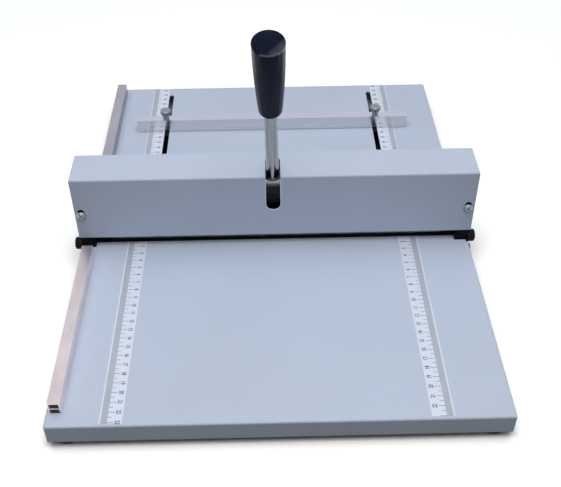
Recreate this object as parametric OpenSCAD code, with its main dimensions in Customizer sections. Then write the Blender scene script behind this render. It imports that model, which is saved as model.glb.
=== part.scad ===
// Desktop paper creasing machine.
// The origin is under the middle of the machine, on the surface that it stands on.
// Most modules draw from the crease line, at the height of the table tops: there +X runs
// along the crease, +Y to the rear table and +Z up.

/* [Tables] */
// Width of both tables
table_w = 374; // [360:1:400]
// Depth from the crease line to the front edge
front_depth = 235.5; // [200:0.5:280]
// Depth from the crease line to the rear edge
rear_depth = 271.2; // [250:0.2:320]
// Height of the folded edges
lip_h = 18.6; // [17:0.2:24]
// Sheet thickness of tables and cover
sheet_t = 1.2; // [1:0.1:1.4]
// Outside radius of the folds
fold_r = 1.8; // [1.6:0.1:3]
// Outside radius of the upright corners
corner_r = 2; // [1.6:0.1:6]
// Width of the flange that turns in under each edge
flange_w = 26; // [24:1:34]
// Width of the black bar that shows between the tables
bar_w = 29; // [26:0.5:32]
// Height of the rubber feet
foot_h = 8.4; // [7:0.2:14]
// Diameter of the rubber feet
foot_d = 22; // [16:1:24]
// Distance of the feet from the table edges
foot_inset = 14.5; // [13:0.5:15]

/* [Side frames] */
// Thickness of the side plates
plate_t = 7.4; // [7:0.2:8]
// Height of their feet above the tables
rest_h = 11.5; // [11:0.1:12.5]
// Half of the depth of their feet
foot_half = 21; // [20.6:0.2:23]
// Distance of the frame screws from the crease line
frame_screw_y = 17.5; // [17:0.1:18]
// Diameter of the heads of the upper frame screws
frame_head_d = 12; // [10:0.5:12.5]

/* [Cover] */
// How far the cover reaches past the tables on each side
cover_over = 1.5; // [1.3:0.1:2.5]
// Depth of the cover
cover_d = 41; // [39.8:0.1:41]
// Height of the cover itself
cover_h = 68; // [66.5:0.5:74]
// Width of the slot for the lever
slot_w = 13.8; // [13.4:0.1:16]
// Lowest point of the slot above the tables
slot_low = 41; // [36:0.5:44]
// Room behind the lever in the slot, at the end of its swing to the back
slot_room = 1; // [0.6:0.1:3]
// Height of the cover screws above the tables
cover_screw_z = 39.2; // [30:0.2:44]

/* [Lever] */
// Height of the lever's axis above the tables
pivot_z = 55; // [54:0.2:56.6]
// Place of the lever along the crease
lever_x = -1.6; // [-40:0.2:40]
// Lean of the lever towards the front at rest
lever_lean = 18; // [10:1:22]
// Lean of the lever towards the left
lever_tilt = 0.7; // [0:0.1:0.8]
// Diameter of the lever rod at its foot
rod_foot_d = 12.4; // [11:0.1:12.6]
// Diameter of the lever rod under the grip
rod_top_d = 10.8; // [10.2:0.1:12]
// Distance from the axis to the lower end of the grip
grip_start = 108; // [80:0.5:140]
// Length of the grip
grip_len = 79.5; // [70:0.5:110]
// Diameter of the grip at its cap
grip_d = 27; // [25:0.5:32]
// Diameter of the grip at its lower end
grip_low_d = 20; // [16:0.5:22]

/* [Press] */
// Height of the creasing edge above the die at rest
blade_gap = 4.6; // [4.5:0.1:5]
// Travel of the beam for each radian of the lever
cam_rise = 4; // [3.6:0.1:4.2]
// Pull of the lever from rest to the crease, in degrees
pull_deg = 75; // [60:1:75]
// Swing of the lever from rest to the back, in degrees
back_deg = 30; // [10:1:30]
// Diameter of the shaft in its bushes and cams
journal_d = 16; // [14:0.5:16]
// Diameter of the shaft between the cams
shaft_d = 20; // [18:0.5:20]
// Diameter of the lever's hub
hub_d = 34; // [30:0.5:35]
// Thickness of the press beam
beam_t = 18; // [16:0.5:20]
// Thickness of the creasing blade
blade_t = 1.2; // [0.8:0.1:1.4]
// Width of the crease groove
groove_w = 2.2; // [1.8:0.1:3]
// Depth of the crease groove
groove_depth = 1.6; // [1.4:0.1:2.5]
// Wire of the return springs
wire_d = 1.1; // [0.8:0.1:1.2]
// Curls of each return spring
curls = 6; // [4:1:7]

/* [Back gauge and fences] */
// Length of the back gauge
gauge_len = 304.6; // [270:0.2:320]
// Distance of its front face behind the crease line
gauge_y = 176.3; // [120:0.1:200]
// Depth of the gauge bar
gauge_d = 10; // [9:0.5:14]
// Height of the top of the gauge bar
gauge_top = 15; // [12:0.5:20]
// Distance of the left slot from the middle
slot_left = 119.8; // [100:0.1:122]
// Distance of the right slot from the middle
slot_right = 116.9; // [100:0.1:122]
// Width of the slots
gauge_slot_w = 5.4; // [5.2:0.1:7]
// Front end of the slots behind the crease line
slot_front = 46; // [40:1:100]
// Rear end of the slots behind the crease line
slot_rear = 255; // [240:1:260]
// Width of the two side fences
fence_w = 10.2; // [8:0.2:11]
// Height of the two side fences
fence_h = 13; // [9:0.5:18]
// Distance of the fences from the left edge
fence_inset = 3.3; // [2.4:0.1:4]

/* [Scales] */
// Width of the printed scales
scale_w = 18.5; // [14:0.5:18.5]
// Distance of the left front scale's outer edge from the middle
scale_out_left = 143.4; // [120:0.1:146]
// Distance of the right front scale's outer edge from the middle
scale_out_right = 137.8; // [120:0.1:146]

/* [Hidden] */
$fn = 48;
eps = 0.01;
clear = 0.3;            // gap between pieces that move or are soft
snug = 0.2;             // gap between fixed pieces that slip past each other
run = 0.05;             // running fit of a shaft in its bush
slide_gap = 0.15;       // running gap of the beam in its guides

half_w = table_w / 2;
half_bar = bar_w / 2;
crease_y = (front_depth - rear_depth) / 2;
cover_w = table_w + 2 * cover_over;
table_z = lip_h + foot_h;

// Side frames, from the middle outwards
plate_out = half_w - sheet_t - 0.1;
plate_in = plate_out - plate_t;
foot_block_w = 4.5;
foot_block_in = plate_in - foot_block_w;
block_in = plate_in - 11.5;
plate_drop = 18;
upright_half = cover_d / 2 - sheet_t - clear;
block_top = 43;
plate_top = 72;
bar_drop = 24;
shoulder_z = -sheet_t - 0.2;
frame_screw_z = 2.5;
table_bolt_z = -13;
bolt_r = 2.5;
table_bolt_r = 3;
washer_t = 1.5;
bush_wall = 2;
bush_flange_t = 1.2;
bush_flange = 1.5;

// Press beam and its drive
half_beam = beam_t / 2;
cam_h = 12.2;
cam_w = 12.5;
cam_in = block_in - cam_w - 3.8;
sleeve_wall = 2;
shaft_step = cam_in - 0.5;
pad_top = pivot_z - cam_h - clear;
pad_h = 5;
beam_top = pad_top - pad_h;
beam_low = blade_gap + 8;
clamp_h = 8.2;
blade_h = 16.2;
beam_end = block_in - 0.4;
tongue_half = 5;
tongue_end = plate_in - 3.2;
tongue_root = beam_end - 6;
groove_end = plate_in - 2.6;
notch_w = 44;
beam_up = cam_rise * back_deg * PI / 180;
notch_floor = pivot_z - hub_d / 2 - beam_up - 0.7;

// Return springs under the beam's tongues
spring_od = 8.4;
spring_x = (block_in + groove_end) / 2;
spring_floor = -6;
pin_r = 2.3;
pin_len = 15.5;
pin_point = 1;
pin_seat = 6;

// Crease plate
plate_half = 9;
crease_plate_t = 5;
crease_plate_end = block_in - 0.2;

// Back gauge
gauge_lift = 0.5;
gauge_wall = 1.4;
gauge_screw_y = gauge_y + gauge_d / 2;
nut_t = 3;
nut_w = 20;
nut_len = 26;
thumb_r = 5.8;
thumb_neck_r = 3.5;
thumb_neck_h = 2.4;
thumb_cone_h = 4.2;
thumb_rim_h = 4;
thumb_chamfer = 0.5;
thumb_shank_r = 2.4;
slot_places = [-slot_left, slot_right];

// Scales
scale_t = 0.3;
scale_front = half_bar + 0.7;
scale_rear_start = 24;

// Cover
cover_corner_r = 1.2;
cover_screw_x = plate_in + plate_t / 2;
cover_hole_w = 6.4;
cover_hole_h = 9.8;
slot_back = (rest_h + cover_h - pivot_z) * tan(back_deg - lever_lean)
    + rod_foot_d / 2 / cos(back_deg - lever_lean) + slot_room;

// Fences
fence_x = -half_w + fence_inset;
fence_wall = 1.2;

module from_crease() translate([0, crease_y, table_z]) children();
module both_sides() for (side = [-1, 1]) scale_x(side) children();
module scale_x(side) mirror([side < 0 ? 1 : 0, 0, 0]) children();
module along_x(length, radius, fn = 48) rotate([0, 90, 0]) cylinder(h = length, r = radius, $fn = fn);
module along_y(length, radius, fn = 48) rotate([-90, 0, 0]) cylinder(h = length, r = radius, $fn = fn);
module lean() rotate([lever_lean, 0, 0]) rotate([0, -lever_tilt, 0]) children();
module on_lever() from_crease() translate([lever_x, 0, pivot_z]) lean() children();

// A box with rounded top and upright edges, and a flat underside
module soft_box(size, top_r, side_r) intersection() {
    translate([-size[0] / 2, 0, 0]) rotate([90, 0, 90]) linear_extrude(size[0])
        channel_plan(size[1], size[2], top_r);
    translate([0, size[1] / 2, 0]) rotate([90, 0, 0]) linear_extrude(size[1])
        channel_plan(size[0], size[2], top_r);
    linear_extrude(size[2] + 1) round_plan(size[0], size[1], side_r);
}

// The outline of a folded channel, open downwards, with its upper corners rounded
module channel_plan(w, h, r) {
    translate([-w / 2, 0]) square([w, h - r]);
    translate([r - w / 2, 0]) square([w - 2 * r, h]);
    for (x = [r - w / 2, w / 2 - r]) translate([x, h - r]) circle(r = r);
}

module round_plan(w, d, r) {
    square([w - 2 * r, d], center = true);
    square([w, d - 2 * r], center = true);
    for (x = [-1, 1], y = [-1, 1]) translate([x * (w / 2 - r), y * (d / 2 - r)]) circle(r = r);
}

// One folded table, from the crease line towards its outer edge
module table_sheet(depth) {
    inner_r = fold_r - sheet_t;
    body_d = 2 * depth;
    difference() {
        translate([0, 0, -lip_h]) soft_box([table_w, body_d, lip_h], fold_r, corner_r);
        translate([0, 0, -lip_h + sheet_t])
            soft_box([table_w - 2 * sheet_t, body_d - 2 * sheet_t, lip_h - 2 * sheet_t],
                inner_r, corner_r - sheet_t);
        translate([0, 0, -lip_h - 1]) linear_extrude(sheet_t + 2)
            square([table_w - 2 * flange_w, body_d - 2 * flange_w], center = true);
        // only the half beyond the bar is this table
        translate([-half_w - 1, -depth - 1, -lip_h - 1])
            cube([table_w + 2, depth + 1 + half_bar, lip_h + 2]);
        both_sides() {
            // room for the feet of the side frames
            translate([foot_block_in - snug, 0, -lip_h - 1])
                cube([plate_out + 0.05 - foot_block_in + snug, foot_half + snug, lip_h + 2]);
            // room for the washers, and the open slots of the table bolts
            translate([plate_out - 1, frame_screw_y, frame_screw_z]) along_x(5, frame_head_d / 2 + 1);
            translate([plate_out - 1, frame_screw_y, table_bolt_z]) {
                along_x(5, table_bolt_r);
                translate([0, -frame_screw_y, -table_bolt_r]) cube([5, frame_screw_y, 2 * table_bolt_r]);
            }
            translate([half_w - foot_inset, depth - foot_inset, -lip_h - 1])
                cylinder(h = sheet_t + 2, r = bolt_r);
            // the flange ends at the die bar
            translate([0, 0, -lip_h - 1]) cube([half_w - sheet_t, foot_half + 1, sheet_t + 2]);
        }
    }
}

module front_table() color("lightsteelblue") from_crease() difference() {
    mirror([0, 1, 0]) table_sheet(front_depth);
    fence_holes(front_fence_y);
}

module rear_table() color("lightsteelblue") from_crease() difference() {
    table_sheet(rear_depth);
    for (x = slot_places) translate([x, 0, -5]) linear_extrude(10) {
        translate([-gauge_slot_w / 2, slot_front + gauge_slot_w / 2])
            square([gauge_slot_w, slot_rear - slot_front - gauge_slot_w]);
        for (y = [slot_front + gauge_slot_w / 2, slot_rear - gauge_slot_w / 2])
            translate([0, y]) circle(d = gauge_slot_w);
    }
    fence_holes(rear_fence_y);
}

// The bar between the tables, which carries the side frames and the crease plate
module die_bar() color("#202226") from_crease() difference() {
    union() {
        translate([-plate_in, -foot_half, -bar_drop])
            cube([2 * plate_in, 2 * foot_half, bar_drop + shoulder_z]);
        translate([-plate_in, -half_bar + snug, shoulder_z - eps])
            cube([2 * plate_in, bar_w - 2 * snug, -shoulder_z + eps]);
    }
    translate([-crease_plate_end - eps, -plate_half, -crease_plate_t])
        cube([2 * crease_plate_end + 2 * eps, 2 * plate_half, crease_plate_t + 1]);
    for (x = plate_screw_x) translate([x, plate_screw_y, -crease_plate_t - plate_screw_reach - 2])
        cylinder(h = plate_screw_reach + 3, r = plate_screw_r);
    both_sides() {
        translate([spring_x, 0, spring_floor]) cylinder(h = 1 - spring_floor, r = spring_od / 2 + 0.5);
        translate([spring_x, 0, spring_floor - pin_seat]) cylinder(h = pin_seat + 1, r = pin_r);
        for (y = [-frame_screw_y, frame_screw_y])
            translate([plate_in - table_bolt_grip - 0.5, y, table_bolt_z])
                along_x(table_bolt_grip + 1, table_bolt_r);
    }
}

// Places of the flat screws that hold the crease plate, beside the groove
plate_screw_inset = 16;
plate_screw_pitch = (crease_plate_end - plate_screw_inset) / 2;
plate_screw_x = [for (i = [-2:2]) i * plate_screw_pitch];
plate_screw_y = 5.2;
plate_screw_r = 1.6;
plate_screw_head_r = 2.9;
plate_screw_rim = 0.3;
plate_screw_cone = 1.5;
plate_screw_reach = 5;

// A flat screw from depth to top, about its cone under the plate's face
module flat_screw(depth, top) {
    cone_z = -plate_screw_rim - plate_screw_cone;
    translate([0, 0, -depth]) cylinder(h = depth + cone_z, r = plate_screw_r);
    translate([0, 0, cone_z])
        cylinder(h = plate_screw_cone, r1 = plate_screw_r, r2 = plate_screw_head_r);
    translate([0, 0, -plate_screw_rim]) cylinder(h = plate_screw_rim + top, r = plate_screw_head_r);
}

module crease_plate() color("silver") from_crease() difference() {
    translate([-crease_plate_end, -plate_half + 0.05, -crease_plate_t])
        cube([2 * crease_plate_end, 2 * plate_half - 0.1, crease_plate_t]);
    translate([-crease_plate_end - 1, -groove_w / 2, -groove_depth])
        cube([2 * crease_plate_end + 2, groove_w, groove_depth + 1]);
    for (x = plate_screw_x) translate([x, plate_screw_y, 0]) flat_screw(crease_plate_t + 1, 1);
}

module crease_plate_screws() color("gray") from_crease()
    for (x = plate_screw_x) translate([x, plate_screw_y, 0]) difference() {
        flat_screw(crease_plate_t + plate_screw_reach, 0);
        translate([0, 0, -1.2]) cylinder(h = 2, r = 1.1, $fn = 6);
    }

// A side plate: its foot stands beside the tables, its upright carries the shaft
module side_plate() difference() {
    union() {
        translate([plate_in, -foot_half, -plate_drop]) cube([plate_t, 2 * foot_half, plate_drop + rest_h]);
        translate([plate_in, -upright_half, 0]) cube([plate_t, 2 * upright_half, plate_top]);
    }
    translate([plate_in - 1, 0, pivot_z]) along_x(plate_t + 2, journal_d / 2 + bush_wall);
    for (y = [-frame_screw_y, frame_screw_y]) {
        translate([plate_in - 1, y, frame_screw_z]) along_x(plate_t + 2, bolt_r);
        translate([plate_in - 1, y, table_bolt_z]) along_x(plate_t + 2, table_bolt_r);
    }
    for (s = [-1, 1]) {
        // tapped holes of the cover screws, and the trimmed upper corners
        translate([cover_screw_x, s * upright_half, cover_screw_z]) rotate([s * 90, 0, 0])
            translate([0, 0, -1]) cylinder(h = cover_screw_len + 2, r = cover_screw_r);
        translate([plate_in - 1, s * upright_half, plate_top]) rotate([45, 0, 0])
            cube([3 * plate_t, 8, 8], center = true);
    }
}

module side_plate_left() color("#26282c") from_crease() mirror([1, 0, 0]) side_plate();
module side_plate_right() color("#26282c") from_crease() side_plate();

// A guide block: its groove leads one end of the press beam
module guide_block() difference() {
    union() {
        translate([block_in, -half_bar + snug, 0]) cube([plate_in - block_in, bar_w - 2 * snug, block_top]);
        translate([foot_block_in, -foot_half, shoulder_z])
            cube([foot_block_w, 2 * foot_half, rest_h - shoulder_z]);
    }
    // the bar's ridge passes under the block
    translate([block_in - 1, -half_bar + snug, shoulder_z - 1])
        cube([plate_in - block_in + 2, bar_w - 2 * snug, 1 - shoulder_z]);
    translate([block_in - 1, -tongue_half - slide_gap, -1])
        cube([groove_end - block_in + 1, 2 * (tongue_half + slide_gap), block_top + 2]);
    for (y = [-frame_screw_y, frame_screw_y])
        translate([foot_block_in + 0.5, y, frame_screw_z]) along_x(foot_block_w, bolt_r);
}

module guide_block_left() color("#1b1c1f") from_crease() mirror([1, 0, 0]) guide_block();
module guide_block_right() color("#1b1c1f") from_crease() guide_block();

// Socket-head frame bolts
frame_head_h = 6;
frame_head_chamfer = 0.9;
frame_hex_r = 3.2;

module frame_bolts() color("#141416") from_crease() both_sides()
    for (y = [-frame_screw_y, frame_screw_y]) translate([0, y, frame_screw_z]) difference() {
        union() {
            translate([foot_block_in + 0.6, 0, 0])
                along_x(plate_out + washer_t - foot_block_in, bolt_r);
            translate([plate_out + washer_t, 0, 0])
                along_x(frame_head_h - frame_head_chamfer, frame_head_d / 2);
            translate([plate_out + washer_t + frame_head_h - frame_head_chamfer, 0, 0]) rotate([0, 90, 0])
                cylinder(h = frame_head_chamfer, r1 = frame_head_d / 2,
                    r2 = frame_head_d / 2 - frame_head_chamfer);
        }
        translate([plate_out + washer_t + frame_head_h / 2, 0, 0])
            along_x(frame_head_h, frame_hex_r, 6);
    }

module frame_washers() color("#2a2a2c") from_crease() both_sides()
    for (y = [-frame_screw_y, frame_screw_y]) translate([plate_out, y, frame_screw_z]) difference() {
        along_x(washer_t, frame_head_d / 2 + 0.5);
        translate([-1, 0, 0]) along_x(washer_t + 2, bolt_r);
    }

// Button screws through the folded edges and the side plates into the die bar
table_bolt_grip = 17.5;
button_r = 5.5;
button_h = 4.8;
button_dome_r = 6.2;
button_hex_r = 2;
button_hex_depth = 2.2;

module table_bolts() color("#141416") from_crease() both_sides()
    for (y = [-frame_screw_y, frame_screw_y]) translate([0, y, table_bolt_z]) difference() {
        union() {
            translate([plate_in - table_bolt_grip, 0, 0])
                along_x(half_w - plate_in + table_bolt_grip + 0.1, table_bolt_r);
            translate([half_w, 0, 0]) rotate([0, 90, 0]) rotate_extrude() intersection() {
                square([button_r, button_h]);
                translate([0, button_h - button_dome_r]) circle(r = button_dome_r);
            }
        }
        translate([half_w + button_h - button_hex_depth, 0, 0]) along_x(button_h, button_hex_r, 6);
    }

module cover() color("lightsteelblue") from_crease() translate([0, 0, rest_h]) difference() {
    soft_box([cover_w, cover_d, cover_h], fold_r, cover_corner_r);
    translate([sheet_t - cover_w / 2, 0, -1]) rotate([90, 0, 90]) linear_extrude(cover_w - 2 * sheet_t)
        channel_plan(cover_d - 2 * sheet_t, cover_h - sheet_t + 1, fold_r - sheet_t);
    // the slot of the lever: down the front and over the top
    translate([lever_x, 0, 0]) {
        low = slot_low - rest_h + slot_w / 2;
        translate([-slot_w / 2, -cover_d / 2 - 1, low]) cube([slot_w, cover_d / 2, cover_h]);
        translate([0, -cover_d / 2 - 1, low]) along_y(cover_d / 2, slot_w / 2);
        translate([-slot_w / 2, -cover_d / 2 - 1, cover_h - 4])
            cube([slot_w, cover_d / 2 + 1 + slot_back - slot_w / 2, 8]);
        translate([0, slot_back - slot_w / 2, cover_h - 4]) cylinder(h = 8, d = slot_w);
    }
    // slotted holes of the cover screws
    both_sides() translate([cover_screw_x, -cover_d, cover_screw_z - rest_h]) {
        rise = cover_hole_h - cover_hole_w;
        along_y(2 * cover_d, cover_hole_w / 2);
        translate([0, 0, rise]) along_y(2 * cover_d, cover_hole_w / 2);
        translate([-cover_hole_w / 2, 0, 0]) cube([cover_hole_w, 2 * cover_d, rise]);
    }
}

pan_r = 4.3;
pan_rim = 1.2;
pan_dome = 1.3;
cover_screw_r = 2;
cover_screw_len = 8;
cross_w = 1;
cross_len = 4.8;

module cover_screws() color("silver") from_crease() both_sides() for (s = [-1, 1])
    translate([cover_screw_x, s * cover_d / 2, cover_screw_z]) rotate([-s * 90, 0, 0]) difference() {
        union() {
            translate([0, 0, -cover_screw_len]) cylinder(h = cover_screw_len + eps, r = cover_screw_r);
            cylinder(h = pan_rim, r = pan_r);
            translate([0, 0, pan_rim]) cylinder(h = pan_dome, r1 = pan_r, r2 = pan_r - pan_dome);
        }
        for (a = [45, 135]) rotate([0, 0, a]) translate([-cross_len / 2, -cross_w / 2, pan_rim])
            cube([cross_len, cross_w, 2 * pan_dome]);
    }

module shaft_bushes() color("#b08d57") from_crease() translate([0, 0, pivot_z]) both_sides() difference() {
    union() {
        translate([plate_in, 0, 0]) along_x(plate_t, journal_d / 2 + bush_wall);
        translate([plate_in - bush_flange_t, 0, 0])
            along_x(bush_flange_t + eps, journal_d / 2 + bush_wall + bush_flange);
    }
    translate([plate_in - 3, 0, 0]) along_x(plate_t + 6, journal_d / 2 + run);
}

module main_shaft() color("silver") from_crease() translate([0, 0, pivot_z]) difference() {
    union() {
        translate([-plate_out + 0.3, 0, 0]) along_x(2 * plate_out - 0.6, journal_d / 2);
        translate([-shaft_step, 0, 0]) along_x(2 * shaft_step, shaft_d / 2);
    }
    // the seat of the lever rod's point
    translate([lever_x, 0, 0]) lean() translate([0, 0, 5]) cylinder(h = 20, r = 3);
    for (x = [-1, 1] * (cam_in + cam_w / 2)) translate([x, 0, 0]) rotate([cam_screw_turn, 0, 0])
        translate([0, 0, journal_d / 2 - 1]) cylinder(h = 5, r = cam_screw_r);
}

// Cam outline. Its reach towards the beam grows by cam_rise for each radian of the lever,
// so the follower stays the same gap away and the beam's travel is proportional to the pull.
// Angle 0 points down at rest; a pull brings larger angles, on the front side, to the bottom.
cam_from = -back_deg - 3;
cam_to = pull_deg + 3;
cam_step = 4;
function cam_reach(a) = cam_h + cam_rise * a * PI / 180;
function cam_edge(a) = [
    -cam_reach(a) * sin(a) - cam_rise * cos(a),
    -cam_reach(a) * cos(a) + cam_rise * sin(a)];
cam_back_r = journal_d / 2 + 1.8;
cam_screw_turn = -20;
cam_screw_r = 2.1;

module cam_outline() {
    polygon(concat(
        [for (a = [cam_from:cam_step:cam_to]) cam_edge(a)],
        [[0, 0]]));
    circle(r = cam_back_r);
}

module cam(x) translate([x, 0, pivot_z]) difference() {
    rotate([90, 0, 90]) linear_extrude(cam_w) cam_outline();
    translate([-1, 0, 0]) along_x(cam_w + 2, journal_d / 2);
    translate([cam_w / 2, 0, 0]) rotate([cam_screw_turn, 0, 0]) cylinder(h = 30, r = cam_screw_r);
}

module cam_left() color("#4a4c50") from_crease() cam(-cam_in - cam_w);
module cam_right() color("#4a4c50") from_crease() cam(cam_in);

module cam_set_screws() color("#141416") from_crease()
    for (x = [-1, 1] * (cam_in + cam_w / 2)) translate([x, 0, pivot_z]) rotate([cam_screw_turn, 0, 0])
        difference() {
            translate([0, 0, journal_d / 2 - 0.9])
                cylinder(h = cam_back_r - journal_d / 2 + 0.7, r = cam_screw_r);
            translate([0, 0, journal_d / 2 + 0.4]) cylinder(h = 3, r = 1.1, $fn = 6);
        }

module shaft_sleeves() color("gray") from_crease() translate([0, 0, pivot_z]) both_sides() difference() {
    translate([cam_in + cam_w, 0, 0])
        along_x(plate_in - bush_flange_t - clear - cam_in - cam_w, journal_d / 2 + sleeve_wall);
    translate([cam_in, 0, 0]) along_x(40, journal_d / 2);
}

// Distances from the axis along the lever
spot_s = hub_d / 2 - 2;
hub_w = 26;
spot_r = 7.3;
thread_r = 5;
point_r = 2.95;
point_s = 5.3;
stud_r = 4.5;
stud_len = 34;

module lever_hub() color("#1c1d20") difference() {
    from_crease() translate([lever_x - hub_w / 2, 0, pivot_z]) along_x(hub_w, hub_d / 2);
    from_crease() translate([lever_x - hub_w, 0, pivot_z]) along_x(2 * hub_w, shaft_d / 2);
    on_lever() {
        cylinder(h = hub_d, r = thread_r);
        translate([0, 0, spot_s]) cylinder(h = hub_d / 2, r = spot_r);
    }
}

module lever_rod() color("silver") on_lever() {
    translate([0, 0, point_s]) cylinder(h = shaft_d / 2 + 0.3 - point_s, r = point_r);
    translate([0, 0, shaft_d / 2 + 0.1]) cylinder(h = spot_s - shaft_d / 2 - 0.1 + eps, r = thread_r);
    translate([0, 0, spot_s]) cylinder(h = grip_start - spot_s, r1 = rod_foot_d / 2, r2 = rod_top_d / 2);
    translate([0, 0, grip_start - eps]) cylinder(h = stud_len, r = stud_r);
}

// Grip profile: a taper that swells towards the cap, with a rounded lower end
function grip_r(u) = grip_low_d / 2 + (grip_d - grip_low_d) / 2 * sin(90 * pow(u, 0.9));
grip_round = 4;
cap_plug_r = 8;
cap_seat = 6;
grip_points = concat(
    [[stud_r, 0], [rod_top_d / 2 + 0.6, 0]],
    [for (a = [20:17.5:90]) [
        rod_top_d / 2 + 0.6 + (grip_r(grip_round / grip_len) - rod_top_d / 2 - 0.6) * sin(a),
        grip_round * (1 - cos(a))]],
    [for (i = [1:10]) let (s = grip_round + (grip_len - grip_round) * i / 10) [grip_r(s / grip_len), s]],
    [[cap_plug_r, grip_len], [cap_plug_r, grip_len - cap_seat], [stud_r, grip_len - cap_seat]]);

module lever_grip() color("#101014") on_lever() translate([0, 0, grip_start])
    rotate_extrude() polygon(grip_points);

cap_h = 3.4;
cap_edge = 1.2;
cap_dome_r = 60;
module grip_cap() color("#14141a") on_lever() translate([0, 0, grip_start + grip_len]) {
    rotate_extrude() intersection() {
        union() {
            square([grip_d / 2 - cap_edge, cap_h]);
            translate([grip_d / 2 - cap_edge, cap_edge]) circle(r = cap_edge);
            square([grip_d / 2, cap_edge]);
        }
        translate([0, cap_h - cap_dome_r]) circle(r = cap_dome_r, $fn = 180);
        square([grip_d, 10]);
    }
    translate([0, 0, 0.5 - cap_seat]) cylinder(h = cap_seat - 0.4, r = cap_plug_r - run);
}

clamp_pitch = (beam_end - 21.9) / 3;
clamp_screw_x = [for (i = [-3:3]) i * clamp_pitch];
clamp_screw_z = beam_low + clamp_h / 2;
clamp_screw_r = 2;
clamp_head_r = 3.5;
clamp_head_h = 3;

module press_beam() color("#34373c") from_crease() difference() {
    union() {
        translate([-beam_end, -half_beam, beam_low + clamp_h])
            cube([2 * beam_end, beam_t, beam_top - beam_low - clamp_h]);
        translate([-beam_end, blade_t / 2, beam_low])
            cube([2 * beam_end, half_beam - blade_t / 2, clamp_h + 1]);
        translate([-tongue_end, -tongue_half, beam_low])
            cube([tongue_end - tongue_root, 2 * tongue_half, beam_top - beam_low]);
        translate([tongue_root, -tongue_half, beam_low])
            cube([tongue_end - tongue_root, 2 * tongue_half, beam_top - beam_low]);
    }
    translate([lever_x - notch_w / 2, -half_beam - 1, notch_floor])
        cube([notch_w, beam_t + 2, beam_top - notch_floor + 1]);
    for (x = clamp_screw_x) translate([x, -half_beam, clamp_screw_z]) along_y(half_beam + 7, clamp_screw_r);
}

blade_end = beam_end - 6.5;
module crease_blade() color("silver") from_crease() difference() {
    translate([-blade_end, -blade_t / 2, blade_gap]) {
        translate([0, 0, 0.6]) cube([2 * blade_end, blade_t, blade_h - 0.6]);
        translate([0, blade_t / 2, 0.6]) along_x(2 * blade_end, blade_t / 2);
    }
    for (x = clamp_screw_x) translate([x, -2, clamp_screw_z]) along_y(4, clamp_screw_r);
}

module blade_clamp() color("#3c4046") from_crease() difference() {
    translate([-blade_end, -half_beam, beam_low])
        cube([2 * blade_end, half_beam - blade_t / 2, clamp_h - 0.1]);
    for (x = clamp_screw_x) translate([x, -half_beam - 1, clamp_screw_z]) {
        along_y(half_beam + 3, clamp_screw_r);
        along_y(clamp_head_h + 1.2, clamp_head_r + 0.1);
    }
}

module blade_screws() color("#141416") from_crease() for (x = clamp_screw_x)
    translate([x, -half_beam + 0.2, clamp_screw_z]) difference() {
        union() {
            along_y(clamp_head_h, clamp_head_r);
            along_y(half_beam + 5, clamp_screw_r);
        }
        translate([0, -1, 0]) along_y(clamp_head_h - 0.2, clamp_head_r - 1.9, 6);
    }

// Hardened pads on the beam that the cams push
module wear_pads() color("gainsboro") from_crease() both_sides()
    translate([cam_in - 1, -half_beam + 1, beam_top]) cube([cam_w + 2, beam_t - 2, pad_h]);

module spring_pins() color("gray") from_crease() both_sides()
    translate([spring_x, 0, spring_floor - pin_seat]) {
    cylinder(h = pin_len - pin_point, r = pin_r);
    translate([0, 0, pin_len - pin_point]) cylinder(h = pin_point, r1 = pin_r, r2 = pin_r - 0.8);
}

// A return spring: one tube along a helix, with a ring of points every eighth of a curl
spring_z0 = spring_floor + wire_d / 2 + 0.15;
spring_z1 = beam_low - wire_d / 2 - 0.15;
coil_r = (spring_od - wire_d) / 2;
rings = curls * 8;
ring_sides = 6;
function coil_angle(i) = 360 * i / 8;
function coil_point(i) = [coil_r * cos(coil_angle(i)), coil_r * sin(coil_angle(i)),
    spring_z0 + (spring_z1 - spring_z0) * i / rings];
function ring_point(i, k) = let (a = coil_angle(i), b = 360 * k / ring_sides, c = coil_point(i))
    [c[0] + wire_d / 2 * cos(b) * cos(a), c[1] + wire_d / 2 * cos(b) * sin(a), c[2] + wire_d / 2 * sin(b)];
coil_gap = min([for (i = [0:rings], j = [i + 4:1:min(rings, i + 12)]) norm(coil_point(i) - coil_point(j))])
    - wire_d;
echo(least_gap_between_curls_mm = coil_gap);

module coil_spring() polyhedron(
    points = [for (i = [0:rings], k = [0:ring_sides - 1]) ring_point(i, k)],
    faces = concat(
        [for (i = [0:rings - 1], k = [0:ring_sides - 1], half = [0, 1]) let (
            a = i * ring_sides + k,
            b = i * ring_sides + (k + 1) % ring_sides)
            half == 0 ? [a, b, b + ring_sides] : [a, b + ring_sides, a + ring_sides]],
        [for (k = [1:ring_sides - 2]) [0, k + 1, k]],
        [for (k = [1:ring_sides - 2]) let (e = rings * ring_sides) [e, e + k, e + k + 1]]));

module return_springs() color("silver") from_crease()
    for (side = [-1, 1]) translate([side * spring_x, 0, 0]) coil_spring();

// Printed scales, with their long edges along the paper's travel
module scale_strip(x, y, length) translate([x, y, 0]) cube([scale_w, length, scale_t]);
front_scale_len = front_depth - scale_front - fold_r - 0.5;
rear_scale_len = rear_depth - scale_rear_start - fold_r - 0.5;
rear_scale_gap = gauge_slot_w / 2 + 0.3;

module front_scale_left() color("white") from_crease()
    scale_strip(-scale_out_left, -scale_front - front_scale_len, front_scale_len);
module front_scale_right() color("white") from_crease()
    scale_strip(scale_out_right - scale_w, -scale_front - front_scale_len, front_scale_len);
module rear_scale_left() color("white") from_crease()
    scale_strip(-slot_left - rear_scale_gap - scale_w, scale_rear_start, rear_scale_len);
module rear_scale_right() color("white") from_crease()
    scale_strip(slot_right + rear_scale_gap, scale_rear_start, rear_scale_len);

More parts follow.
